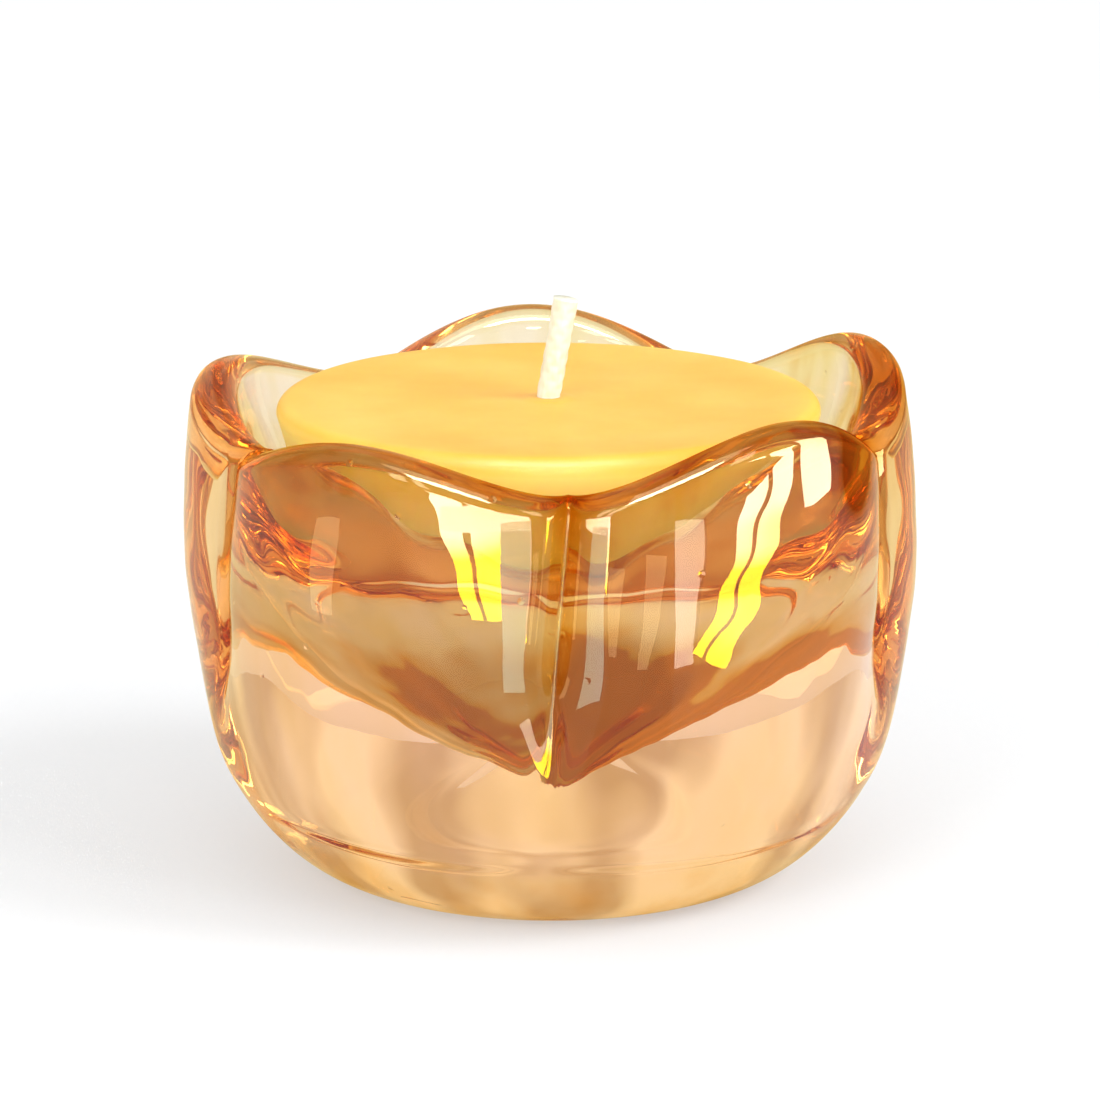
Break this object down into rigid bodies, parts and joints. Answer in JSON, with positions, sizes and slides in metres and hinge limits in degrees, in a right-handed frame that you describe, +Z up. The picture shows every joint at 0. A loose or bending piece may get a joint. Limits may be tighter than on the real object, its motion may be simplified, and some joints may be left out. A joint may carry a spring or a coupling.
{
  "type": "tealight holder",
  "caption": "Petal-shaped pressed-glass tealight bowl with a creased, scalloped wall, a thick solid base and a lift-out wax tealight.",
  "frame": {"origin": "centre of the flat foot, on the bowl's axis", "axes": "+Z up along the bowl's axis; the view of the reference picture is from -Y, and +X is to its right"},
  "size_m": [0.052, 0.0513, 0.0406],
  "materials": {
    "amber_glass": "polished",
    "wax": "satin",
    "wick_cotton": "waxed",
    "tinplate": "satin"
  },
  "bodies": {
    "holder": {"glass_bowl": "amber_glass"},
    "candle": {"wax": "wax", "wick": "wick_cotton", "wick_sustainer": "tinplate"}
  },
  "joints": [
    {"name": "candle_lift", "type": "slide", "parent": "holder", "child": "candle", "axis": [0, 0, 1], "range_m": [0, 0.04]}
  ]
}
